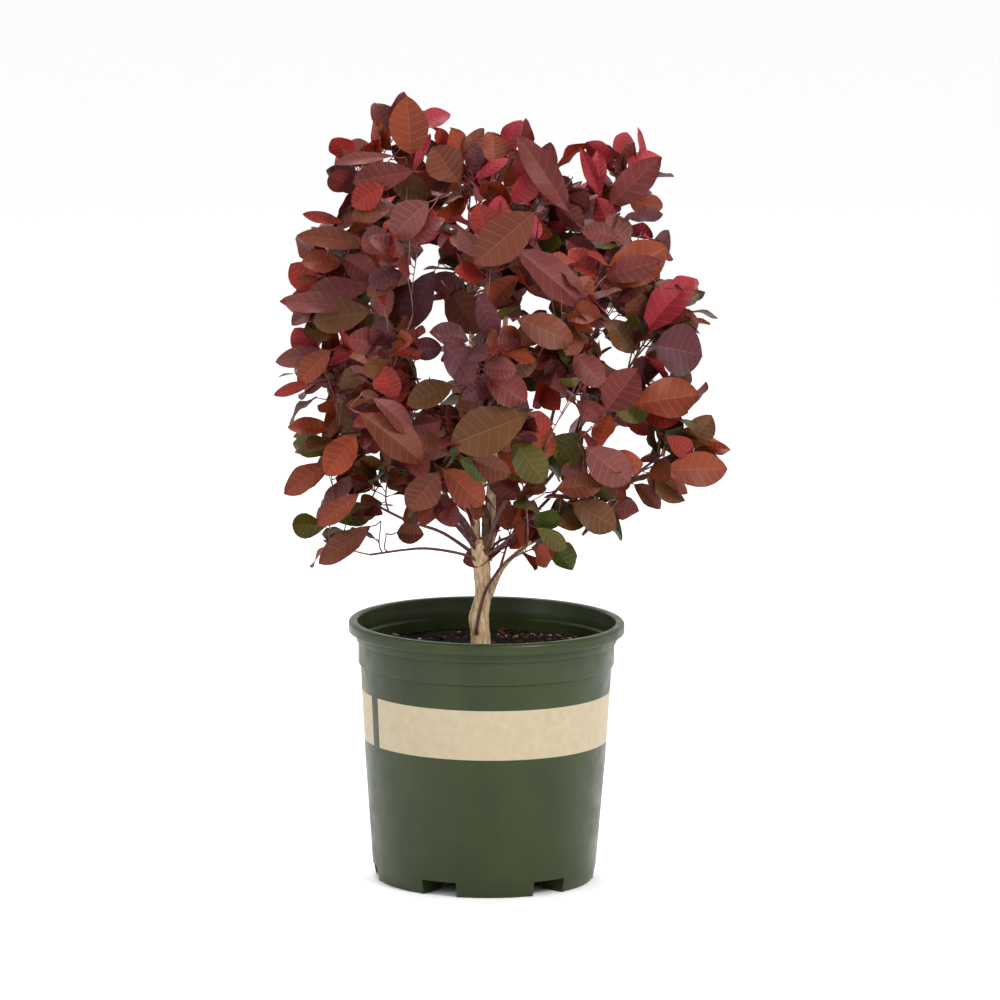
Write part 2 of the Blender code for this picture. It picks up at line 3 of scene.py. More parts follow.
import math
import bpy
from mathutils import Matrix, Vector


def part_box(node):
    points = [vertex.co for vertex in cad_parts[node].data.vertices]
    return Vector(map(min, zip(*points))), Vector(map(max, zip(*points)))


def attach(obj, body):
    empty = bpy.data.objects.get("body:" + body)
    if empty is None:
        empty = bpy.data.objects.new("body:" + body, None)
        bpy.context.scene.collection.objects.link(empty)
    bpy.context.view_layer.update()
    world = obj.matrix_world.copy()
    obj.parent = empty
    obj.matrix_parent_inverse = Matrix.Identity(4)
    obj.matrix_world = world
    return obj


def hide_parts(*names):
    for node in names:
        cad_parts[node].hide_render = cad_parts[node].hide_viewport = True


bl_info = {
    "name": "Potted smoke bush",
    "version": (1, 0, 0),
    "blender": (4, 5, 0),
    "location": "View3D > Sidebar > Smoke bush",
    "description": "Builds a young smoke bush in its nursery pot, leaf by leaf",
    "category": "Object",
}

from random import Random

import bmesh
import bpy
from bpy.props import FloatProperty, FloatVectorProperty, IntProperty, PointerProperty
from mathutils import Matrix, Vector, noise
from mathutils.bvhtree import BVHTree

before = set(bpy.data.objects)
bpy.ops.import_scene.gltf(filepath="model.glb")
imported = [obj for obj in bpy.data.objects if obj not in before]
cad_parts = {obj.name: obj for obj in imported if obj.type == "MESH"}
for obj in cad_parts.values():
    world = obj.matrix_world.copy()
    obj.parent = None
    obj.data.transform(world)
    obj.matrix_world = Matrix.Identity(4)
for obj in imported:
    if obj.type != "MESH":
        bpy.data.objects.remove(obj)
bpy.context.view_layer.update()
MM = 0.001
UP = Vector((0, 0, 1))
GOLDEN_ANGLE = math.radians(137.5)
POT_LOW, POT_HIGH = (Vector(corner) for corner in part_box("pot"))
AXIS = Vector(((POT_LOW.x + POT_HIGH.x) / 2, (POT_LOW.y + POT_HIGH.y) / 2, 0))

# Camera, from the pot's axis: metres and degrees.
CAMERA_DISTANCE = 9.0
CAMERA_HEIGHT = 1.916
AIM_HEIGHT = 0.3885
AIM_RIGHT = 0.0124
CAMERA_LENS = 324.7
CAMERA_ROLL = math.radians(0.55)
# How much higher a point looks for each millimetre that it stands behind the pot's axis.
RISE_WITH_DEPTH = 0.15

# Limbs from foot to tip, in millimetres on the pot's axis: (x, y, z, radius) at each bend.
TRUNK_BENDS = (
    (-6, 0, 230.5, 14.5), (-6, 0, 234, 12.6), (-6, 0, 239, 10.8), (-6, 0, 248, 9.7), (-8, 0, 266, 10.3),
    (-6, 0, 278, 9.2), (-3.5, 0, 294, 8.3), (-5, 0, 314, 8.6), (-6, 0, 332, 9.2), (-6, 0, 342, 9.4),
    (-6, 0, 349, 7.0),
)
PALE_LIMBS = {
    "leader_left": ((-9, 1, 326, 6.4), (-11.5, 1, 345, 5.4), (-12, 1, 362, 4.7), (-12, 2, 385, 4.1),
                    (-2, 2, 430, 3.6), (-14, 0, 500, 3.2), (-20, 0, 600, 2.4), (-24, -6, 660, 1.8)),
    "leader_right": ((0, 3, 326, 5.4), (3, 8, 344, 4.7), (4, 6, 360, 4.2), (4, 4, 405, 4.2),
                     (6, 8, 440, 3.6), (14, 10, 500, 3.2), (18, 10, 600, 2.4), (30, 6, 660, 1.8)),
    "bough_right_low": ((-1, 0, 286, 5.0), (4, -4, 294, 3.8), (12, -14, 315, 2.9), (24, -24, 333, 2.3),
                        (44, -36, 352, 1.8)),
}
DARK_LIMBS = {
    "pruned_stub": ((-2, -3, 334, 6.0), (-1, -4, 350, 5.2), (-1, -4, 366, 4.8), (-4, -5, 384, 2.4)),
}
BROWN_LIMBS = {
    "bough_front_left": ((-7, -1, 330, 3.2), (-12, -5, 340, 2.6), (-31, -24, 366, 2.1), (-52, -44, 390, 1.9),
                         (-82, -80, 440, 1.6)),
    "bough_low_middle": ((-10, 0, 342, 2.6), (-22, -14, 368, 1.9), (-36, -32, 388, 1.7),
                         (-44, -60, 410, 1.5)),
    "bough_left": ((-6, 2, 318, 2.8), (-12, 2, 330, 2.2), (-29, 0, 344, 1.8), (-50, -4, 357, 1.6),
                   (-84, -8, 369, 1.4), (-128, -12, 392, 1.2)),
    "bough_left_low": ((-5, -3, 320, 2.4), (-12, -5, 328, 1.9), (-29, -9, 335, 1.5), (-59, -18, 341, 1.4),
                       (-83, -26, 341, 1.2), (-118, -34, 337, 1.1)),
    "bough_front_right": ((-1, -5, 338, 3.2), (12, -14, 378, 2.4), (42, -24, 432, 2.0), (58, -30, 456, 1.8),
                          (72, -60, 520, 1.6)),
    "bough_right": ((-3, -3, 330, 2.8), (18, -12, 347, 1.9), (46, -14, 376, 1.7), (78, -14, 412, 1.6),
                    (112, -16, 462, 1.5), (140, -14, 525, 1.3)),
    "shoot_on_trunk": ((-10, -9, 252, 2.4), (-10, -10.6, 260, 1.6), (-6, -10.4, 280, 1.6),
                       (-1, -12, 298, 1.6), (8, -22, 315, 1.4), (18, -33, 330, 1.3), (40, -44, 350, 1.2)),
    "bough_back_left": ((-8, 4, 330, 3.6), (-34, 34, 372, 2.4), (-62, 62, 420, 2.0), (-86, 86, 480, 1.8)),
    "bough_back_middle": ((-4, 5, 330, 3.6), (0, 40, 380, 2.4), (4, 80, 430, 2.0), (4, 110, 480, 1.7)),
    "bough_back_right": ((-1, 5, 332, 3.4), (18, 34, 368, 2.4), (60, 50, 400, 2.0), (94, 74, 450, 1.8)),
    "bough_inner": ((-4, 2, 322, 2.2), (8, 6, 342, 1.5), (24, 10, 350, 1.3)),
    "bough_far_right": ((96, -16, 356, 1.5), (112, -18, 372, 1.5), (132, -18, 394, 1.4), (146, -18, 416, 1.3),
                        (176, -20, 440, 1.2)),
}

# Where the crown shows sky, seen from the front: x and z of the middle, and radius, in millimetres.
SKY_GAPS = (
    (-61, 641, 7), (-76, 624, 5), (-41, 612, 4), (-53, 572, 5), (-57, 524, 7), (41, 587, 5), (124, 580, 5),
    (130, 536, 9), (76, 473, 11), (126, 449, 8), (155, 449, 5), (-87, 384, 6),
)

# Leaf tints, each the colour of the blade; its other half is a little darker, painted shade as on a blade
# folded away from the light, and its veins a little paler.
TINTS = {
    "wine": "#5c221f", "plum": "#471b20", "mauve": "#67332f", "rose": "#87232c", "red": "#761b12",
    "rust": "#722f16", "brown": "#5c2a18", "bronze": "#533012", "olive": "#48400f", "green": "#384416",
    # The orange-red tint at the end is painted light: the glow of leaves lit from behind.
    "painted_backlight": "#7f2d10",
}
# Painted shade: the share of the blade's colour that its far half keeps.
PAINTED_SHADE_HALF = 0.80
VEIN_LIGHTER = 1.3
VEIN_GLEAM = (0.022, 0.012, 0.008)
TINT_NAMES = tuple(TINTS)
# How often each tint turns up by height in the crown: low leaves are more bronze and green. The orange-red
# tint among them is painted glow of backlit leaves.
HIGH_TINTS = ("wine", "wine", "wine", "red", "rose", "rust", "mauve", "brown", "plum", "painted_backlight")
MIDDLE_TINTS = ("wine", "wine", "plum", "brown", "mauve", "rust", "bronze", "red", "olive")
LOW_TINTS = ("bronze", "brown", "wine", "rust", "olive", "bronze", "mauve", "brown", "wine", "painted_backlight", "green")
TIP_TINTS = ("rose", "red", "rose", "wine")
HIGH_ABOVE, YOUNG_TIPS_ABOVE, MIDDLE_ABOVE = 0.66, 0.5, 0.46

# Sprays: the share of a shoot that is bare at its foot, where its tip begins, and how far leaves reach.
BARE_FOOT, TIP_SHARE, LEAVES_PER_TINT = 0.30, 0.85, 3
REACH_IF_OPEN, LONGEST_REACH = 40 * MM, 95 * MM
FORK_HEIGHT = 0.33

# Leaf blades: the grid that each starts from, and the marks across it.
VEIN_PAIRS = 7
VEIN_WIDTH = 0.6 * MM
ACROSS = (-1.0, -0.66, -0.33, -0.022, 0.022, 0.33, 0.66, 1.0)
MIDRIB_COLUMN = 3
VEIN_SLANT = 0.15

# Leaves placed after the photo, in millimetres on the pot's axis as seen from the front: x and z of the
# tip, x and z of the blade's foot, width, tint. Below the top rows, which end is the tip is a guess.
SEEN_LEAVES = (
    (-86, 794, -80, 740, 38, "rust"), (-156, 735, -98, 738, 14, "mauve"),
    (-139, 713, -78, 723, 28, "wine"), (-140, 688, -108, 708, 26, "red"),
    (-62, 700, -100, 712, 26, "bronze"), (-139, 678, -98, 686, 24, "brown"),
    (-103, 660, -62, 692, 36, "mauve"), (-188, 679, -147, 670, 12, "red"),
    (-63, 761, -79, 721, 10, "rose"), (-52, 766, -46, 745, 14, "red"), (-58, 747, -32, 712, 36, "brown"),
    (-9, 768, -31, 738, 14, "brown"), (2, 760, 4, 730, 28, "rust"), (-14, 748, -18, 719, 17, "plum"),
    (15, 738, -16, 716, 12, "rose"), (26, 728, 14, 708, 15, "painted_backlight"), (37, 745, 28, 706, 17, "rose"),
    (47, 718, 21, 692, 24, "rose"), (32, 758, 79, 684, 28, "wine"), (90, 746, 112, 698, 14, "rose"),
    (107, 745, 111, 705, 15, "rose"), (168, 737, 118, 688, 30, "wine"), (172, 683, 136, 678, 16, "plum"),
    (-14, 632, 44, 682, 42, "brown"), (98, 590, 26, 645, 38, "wine"), (178, 648, 114, 612, 42, "rust"),
    (168, 636, 114, 616, 26, "wine"), (-192, 660, -124, 648, 22, "brown"),
    (-187, 600, -121, 604, 30, "wine"), (-208, 592, -138, 584, 22, "mauve"),
    (-178, 572, -119, 580, 34, "bronze"), (-88, 563, -56, 622, 34, "plum"),
    (-10, 558, -42, 604, 36, "brown"), (8, 552, -12, 600, 22, "plum"), (86, 552, 28, 574, 32, "brown"),
    (-14, 508, -46, 550, 30, "plum"), (-214, 530, -162, 538, 20, "mauve"),
    (-196, 508, -160, 540, 24, "rust"), (-218, 496, -180, 506, 12, "red"),
    (-64, 432, -130, 476, 40, "brown"), (-70, 460, -117, 492, 24, "mauve"),
    (-36, 446, 40, 476, 46, "bronze"), (-82, 490, -36, 505, 28, "bronze"), (38, 492, -4, 514, 34, "wine"),
    (58, 408, 24, 450, 32, "olive"), (62, 425, 96, 458, 34, "olive"), (146, 404, 99, 443, 36, "mauve"),
    (-202, 464, -158, 460, 19, "painted_backlight"), (-206, 396, -160, 426, 24, "rust"),
    (-166, 412, -134, 454, 30, "painted_backlight"), (-172, 384, -130, 412, 18, "mauve"),
    (-176, 358, -130, 394, 20, "rust"), (-170, 324, -118, 360, 26, "brown"),
    (-80, 376, -50, 416, 32, "brown"), (-4, 384, -46, 420, 32, "rust"), (210, 500, 146, 488, 42, "rust"),
    (218, 540, 166, 548, 50, "plum"), (199, 620, 156, 560, 36, "rose"),
    (124, 572, 146, 540, 26, "bronze"), (148, 522, 118, 480, 36, "wine"), (116, 508, 86, 538, 28, "wine"),
    (243, 424, 178, 420, 34, "rust"), (209, 436, 180, 456, 20, "red"), (131, 362, 85, 386, 32, "bronze"),
    (82, 338, 50, 360, 18, "olive"), (114, 408, 70, 400, 26, "brown"), (-67, 354, -92, 354, 22, "brown"),
    (178, 384, 148, 406, 18, "brown"),
)

REGIONS = {
    "leaves_top": ("top_left", "top_left_wing", "top_middle", "top_back", "top_right", "top_right_wing"),
    "leaves_upper": ("shoulder_left", "front_upper_left", "front_upper_right", "shoulder_right",
                     "back_upper_left", "back_upper_right"),
    "leaves_middle": ("middle_left", "front_left", "front_middle", "front_right", "middle_right", "back_left",
                      "back_middle", "back_right", "core"),
    "leaves_low": ("low_left", "front_low_left", "front_low_middle", "front_low_right", "low_right",
                   "back_low_left", "back_low_middle", "back_low_right"),
    "leaves_skirt": ("skirt_left", "skirt_middle", "skirt_front_right", "skirt_far_right", "skirt_right",
                     "skirt_back"),
    "leaves_foot": ("foot_left", "foot_left_inner", "foot_left_tip", "foot_right", "foot_middle",
                    "foot_inner"),
}


def linear(code):
    """An sRGB hex colour as the linear numbers that a shader takes."""
    channels = [int(code[place:place + 2], 16) / 255 for place in (1, 3, 5)]
    return tuple(
        value / 12.92 if value <= 0.04045 else ((value + 0.055) / 1.055) ** 2.4 for value in channels)


def add_node(tree, kind, settings=None, inputs=None):
    """A node with its settings, and its inputs as values or as other nodes' outputs."""
    node = tree.nodes.new(kind)
    for name, value in (settings or {}).items():
        setattr(node, name, value)
    for key, value in (inputs or {}).items():
        if isinstance(value, bpy.types.NodeSocket):
            tree.links.new(value, node.inputs[key])
        else:
            node.inputs[key].default_value = value
    return node


def blank_material(name, roughness):
    material = bpy.data.materials.new(name)
    material.use_nodes = True
    shader = material.node_tree.nodes["Principled BSDF"]
    shader.inputs["Roughness"].default_value = roughness
    return material, material.node_tree, shader


def rgba(colour):
    return (*tuple(colour)[:3], 1.0)


def object_place(tree, scale=(1, 1, 1)):
    """Object coordinates, stretched by a Mapping node."""
    place = add_node(tree, "ShaderNodeTexCoord")
    mapping = add_node(tree, "ShaderNodeMapping", None, {"Vector": place.outputs["Object"], "Scale": scale})
    return mapping.outputs["Vector"]


def tones(tree, value, stops):
    """A colour ramp over (position, colour) stops."""
    ramp = add_node(tree, "ShaderNodeValToRGB", None, {"Fac": value})
    while len(ramp.color_ramp.elements) < len(stops):
        ramp.color_ramp.elements.new(0.5)
    for element, (position, colour) in zip(ramp.color_ramp.elements, stops):
        element.position = position
        element.color = rgba(colour)
    return ramp.outputs["Color"]


def bumped(tree, shader, height, depth, strength=1.0):
    bump = add_node(tree, "ShaderNodeBump", None, {"Height": height, "Distance": depth, "Strength": strength})
    tree.links.new(bump.outputs["Normal"], shader.inputs["Normal"])


def grain(tree, size_mm, detail=3.0, stretch=(1, 1, 1)):
    """Noise whose lumps are about size_mm across."""
    texture = add_node(tree, "ShaderNodeTexNoise", None, {
        "Vector": object_place(tree, stretch), "Scale": 1 / (size_mm * MM), "Detail": detail})
    return texture.outputs["Fac"]


def leaf_blade(name, colour, roughness=0.50):
    """Smoke bush leaf, waxy and matt: plain colour, with the fine net of small veins as relief only."""
    material, tree, shader = blank_material(name, roughness)
    shader.inputs["Base Color"].default_value = rgba(colour)
    shader.inputs["Specular IOR Level"].default_value = 0.22
    bumped(tree, shader, grain(tree, 3.0, 2.0), 0.5 * MM, 0.5)
    return material


def pale_bark(colours):
    """Young smooth bark, tan with stretched grain, paler and darker streaks and small dark specks."""
    material, tree, shader = blank_material("pale_tan_bark", 0.78)
    streaks = grain(tree, 2.6, 5.0, (1, 1, 0.22))
    shade = tones(tree, streaks, (
        (0.30, linear("#8d7155")), (0.47, colours.bark_pale), (0.72, linear("#d8c2a2"))))
    dots = add_node(tree, "ShaderNodeTexVoronoi", None, {
        "Vector": object_place(tree, (1, 1, 2.2)), "Scale": 1 / (5.5 * MM), "Randomness": 1.0})
    specks = add_node(tree, "ShaderNodeMapRange", None, {
        "Value": dots.outputs["Distance"], "From Min": 0.10, "From Max": 0.20, "To Min": 0.75, "To Max": 0.0})
    mixed = add_node(tree, "ShaderNodeMix", {"data_type": "RGBA"}, {
        "Factor": specks.outputs["Result"], "A": shade, "B": rgba(linear("#5d4531"))})
    tree.links.new(mixed.outputs["Result"], shader.inputs["Base Color"])
    bumped(tree, shader, grain(tree, 1.4, 6.0, (1, 1, 0.3)), 0.5 * MM, 0.8)
    return material


def brown_bark(name, low, high, roughness):
    """Bark of one-year wood: thin, faintly glossy, streaked along its length."""
    material, tree, shader = blank_material(name, roughness)
    streaks = grain(tree, 3.5, 4.0, (1, 1, 0.4))
    tree.links.new(tones(tree, streaks, ((0.3, low), (0.7, high))), shader.inputs["Base Color"])
    bumped(tree, shader, grain(tree, 1.2, 4.0), 0.4 * MM, 0.6)
    return material


def moulded_green(colours):
    """Injection-moulded polypropylene: satin green, a little dusty, with faint flow marks round it."""
    material, tree, shader = blank_material("moulded_polypropylene_green", 0.36)
    shader.inputs["Specular IOR Level"].default_value = 0.3
    cloud = grain(tree, 46.0, 4.0, (1, 1, 0.5))
    shade = tones(tree, cloud, (
        (0.25, linear("#212a0f")), (0.55, colours.pot_green), (0.85, linear("#2f3a18"))))
    dust = grain(tree, 1.6, 2.0)
    speck = add_node(tree, "ShaderNodeMapRange", None, {
        "Value": dust, "From Min": 0.66, "From Max": 0.78, "To Min": 0.0, "To Max": 0.35})
    mixed = add_node(tree, "ShaderNodeMix", {"data_type": "RGBA"}, {
        "Factor": speck.outputs["Result"], "A": shade, "B": rgba(linear("#5b5c3c"))})
    tree.links.new(mixed.outputs["Result"], shader.inputs["Base Color"])
    rough = add_node(tree, "ShaderNodeMapRange", None, {
        "Value": grain(tree, 18.0, 3.0), "From Min": 0.3, "From Max": 0.7, "To Min": 0.30, "To Max": 0.46})
    tree.links.new(rough.outputs["Result"], shader.inputs["Roughness"])
    bumped(tree, shader, grain(tree, 14.0, 3.0, (0.4, 0.4, 2.5)), 0.5 * MM, 0.35)
    return material


def printed_band(colours):
    """Matt beige ink laid on the wall, slightly uneven."""
    material, tree, shader = blank_material("printed_beige_band", 0.5)
    cloud = grain(tree, 9.0, 5.0)
    shade = tones(tree, cloud, (
        (0.25, linear("#a29479")), (0.5, colours.band_beige), (0.8, linear("#aea086"))))
    tree.links.new(shade, shader.inputs["Base Color"])
    bumped(tree, shader, grain(tree, 2.0, 2.0), 0.1 * MM, 0.3)
    return material


def crumbly(name, low, middle, high, size_mm):
    """Damp bark and peat: dark, rough and crumbly."""
    material, tree, shader = blank_material(name, 0.92)
    shader.inputs["Specular IOR Level"].default_value = 0.1
    shade = tones(tree, grain(tree, size_mm, 6.0), ((0.3, low), (0.52, middle), (0.78, high)))
    tree.links.new(shade, shader.inputs["Base Color"])
    bumped(tree, shader, grain(tree, size_mm * 0.6, 6.0), 1.5 * MM, 1.0)
    return material


def plain_mesh(name, body):
    mesh = bpy.data.meshes.new(name)
    body.to_mesh(mesh)
    body.free()
    return mesh


def show(name, mesh, materials, slot, *replaced, smooth=True):
    """Links a finished piece at the origin, hangs it on the frame's root body, and hides the CAD parts that
    it replaces.
    """
    obj = bpy.data.objects.new(name, mesh)
    bpy.context.scene.collection.objects.link(obj)
    for number, material in enumerate(materials):
        if number < len(mesh.materials):
            mesh.materials[number] = material
        else:
            mesh.materials.append(material)
    if smooth:
        mesh.shade_smooth()
    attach(obj, "root")
    if replaced:
        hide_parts(*replaced)
    return obj


def turned(profile, steps):
    """A bmesh of (radius, height) points in millimetres, spun round the pot's axis."""
    body = bmesh.new()
    points = [body.verts.new((radius * MM, 0, height * MM)) for radius, height in profile]
    for first, second in zip(points, points[1:]):
        body.edges.new((first, second))
    bmesh.ops.spin(body, geom=body.verts[:] + body.edges[:], axis=UP, cent=(0, 0, 0), dvec=(0, 0, 0),
                   angle=2 * math.pi, steps=steps, use_merge=True)
    bmesh.ops.remove_doubles(body, verts=body.verts, dist=0.01 * MM)
    bmesh.ops.recalc_face_normals(body, faces=body.faces)
    bmesh.ops.translate(body, verts=body.verts, vec=AXIS)
    return body


def arc(centre, radius, start, end, count):
    """Points of a rounded corner of the profile, angles in degrees."""
    turns = [math.radians(start + (end - start) * step / count) for step in range(count + 1)]
    return [(centre[0] + radius * math.cos(turn), centre[1] + radius * math.sin(turn)) for turn in turns]


# Pot sizes, in millimetres.
RIM_TOP, RIM_RADIUS, RIM_INNER = 265, 140, 131
LIP_BOTTOM, COLLAR_BOTTOM, STEP_BOTTOM = 253.5, 244, 220
FLOOR_UNDERSIDE, FLOOR_TOP = 15.5, 17.5
FOOT_INNER, FOOT_OUTER = 82, 108
BAND_BOTTOM, BAND_TOP = 144, 195
BAND_GAP_ANGLE, BAND_GAP_HALF_ANGLE, POT_STEPS = -63, 3, 120
CHANNEL_ANGLES = tuple(36 + 60 * number for number in range(6))
CHANNEL_HALF_ANGLE = 9.5


def wall_radius(height):
    """Outer radius of the tapering wall at a height, in millimetres."""
    stations = ((15.5, 113.6), (28, 114.6), (123, 122.0), (220, 127.6))
    for (low, low_radius), (high, high_radius) in zip(stations, stations[1:]):
        if height <= high:
            return low_radius + (height - low) / (high - low) * (high_radius - low_radius)
    return stations[-1][1]


def pot_profile():
    outside = [(FOOT_INNER, 0), (107, 0), (109.6, 0.6), (111, 2.6), (113.6, FLOOR_UNDERSIDE), (114.2, 22)]
    heights = (28, 60, 100, 123, BAND_BOTTOM, BAND_TOP, STEP_BOTTOM)
    outside += [(wall_radius(height), height) for height in heights]
    outside += [(129.4, STEP_BOTTOM + 1.2), (130, STEP_BOTTOM + 2.6), (130, COLLAR_BOTTOM),
                (131.9, COLLAR_BOTTOM + 0.8), (132.5, COLLAR_BOTTOM + 2.2), (132.5, LIP_BOTTOM)]
    outside += arc((RIM_RADIUS - 1.6, LIP_BOTTOM + 1.6), 1.6, -90, 0, 4)
    outside += arc((RIM_RADIUS - 3.4, RIM_TOP - 3.4), 3.4, 0, 90, 6)
    outside += arc((RIM_INNER + 2.2, RIM_TOP - 2.2), 2.2, 90, 180, 4)
    inside = [(RIM_INNER, LIP_BOTTOM + 2), (130.4, LIP_BOTTOM), (130.2, COLLAR_BOTTOM + 1),
              (128, COLLAR_BOTTOM - 1), (128, 236), (128, 223), (125.6, STEP_BOTTOM), (120, 123), (112.6, 28),
              (FOOT_OUTER, 2),
              (FOOT_INNER + 2, 2), (FOOT_INNER + 2, FLOOR_TOP), (0, FLOOR_TOP)]
    underside = [(0, FLOOR_UNDERSIDE), (FOOT_INNER, FLOOR_UNDERSIDE), (FOOT_INNER, 0)]
    return outside + inside + underside


def block(angle, half_angle, inner, outer, bottom, top):
    """A block across the foot ring at an angle, made from a cube, as a helper object for a Boolean."""
    body = bmesh.new()
    bmesh.ops.create_cube(body, size=1)
    for vertex in body.verts:
        radius = (outer if vertex.co.y < 0 else inner) * MM
        turn = math.radians(angle + math.copysign(half_angle, vertex.co.x))
        height = (top if vertex.co.z > 0 else bottom) * MM
        vertex.co = AXIS + Vector((radius * math.sin(turn), -radius * math.cos(turn), height))
    bmesh.ops.recalc_face_normals(body, faces=body.faces)
    return bpy.data.objects.new("block", plain_mesh("block", body))


def carved(mesh, changes):
    """The mesh after Booleans with helper blocks, which are then removed."""
    obj = bpy.data.objects.new("carving", mesh)
    bpy.context.scene.collection.objects.link(obj)
    for operation, helper in changes:
        bpy.context.scene.collection.objects.link(helper)
        modifier = obj.modifiers.new(operation, "BOOLEAN")
        modifier.operation = operation
        modifier.object = helper
    result = bpy.data.meshes.new_from_object(obj.evaluated_get(bpy.context.evaluated_depsgraph_get()))
    for helper in [obj] + [helper for _, helper in changes]:
        bpy.data.objects.remove(helper, do_unlink=True)
    return result


class PLANT_OT_pot(bpy.types.Operator):
    """Turn the pot, with its rolled rim, its blank band and the channels under its foot"""

    bl_idname = "smoke_bush.pot"
    bl_label = "Pot"

    def execute(self, context):
        colours = context.scene.smoke_bush_colours
        body = turned(pot_profile(), POT_STEPS)
        for face in body.faces:
            middle = face.calc_center_median() - AXIS
            outward = face.normal.dot(Vector((middle.x, middle.y, 0))) > 0
            in_band = BAND_BOTTOM * MM < middle.z < BAND_TOP * MM and outward
            off_gap = abs(math.degrees(math.atan2(middle.x, -middle.y)) - BAND_GAP_ANGLE)
            face.material_index = int(in_band and off_gap > BAND_GAP_HALF_ANGLE)
        mesh = plain_mesh("pot_shell", body)
        mesh.materials.append(None)
        mesh.materials.append(None)
        ring = (FOOT_INNER + 0.5, FOOT_OUTER + 3, 0.5, FLOOR_TOP - 0.05)
        channel = (FOOT_INNER - 3, RIM_RADIUS, -3, FLOOR_UNDERSIDE - 0.05)
        hole = (FOOT_INNER + 7, FOOT_OUTER - 7, 12, FLOOR_TOP + 1)
        changes = [("UNION", block(angle, CHANNEL_HALF_ANGLE + 1.4, *ring)) for angle in CHANNEL_ANGLES]
        for angle in CHANNEL_ANGLES:
            changes.append(("DIFFERENCE", block(angle, CHANNEL_HALF_ANGLE, *channel)))
            changes.append(("DIFFERENCE", block(angle, CHANNEL_HALF_ANGLE / 2, *hole)))
        mesh = carved(mesh, changes)
        looks = [moulded_green(colours), printed_band(colours)]
        pot = show("pot_shell", mesh, looks, "pot_green", "pot", smooth=False)
        pot.data.shade_smooth()
        pot.data.set_sharp_from_angle(angle=math.radians(32))
        return {"FINISHED"}


SOIL_LEVEL = 232.5
SOIL_RADIUS = 127.7
SOIL_RINGS, SOIL_STEPS = 72, 144
# The heap at the right: x, y, height and width of its middle.
HEAP = (72, 38, 9, 34)
CHIP_COUNT, CHIP_REACH = 620, 125
CHIPS_ON_HEAP, LARGE_CHIPS = 0.22, 0.15
CHIP_TONES = (5, 4, 2, 1)
PELLET_COUNT = 12
TRUNK_X = -6


def soil_height(x, y):
    """Height of the potting mix at a place on the pot's axis, in millimetres."""
    place = Vector((x, y, 0))
    rolling = 3.0 * noise.noise(place / 30)
    crumbs = 1.6 * noise.noise(place / 6) + 0.9 * noise.noise(place / 2.4)
    heap_x, heap_y, heap_height, heap_width = HEAP
    away = math.hypot(x - heap_x, y - heap_y) / heap_width
    return SOIL_LEVEL + rolling + crumbs + heap_height * math.exp(-away * away)


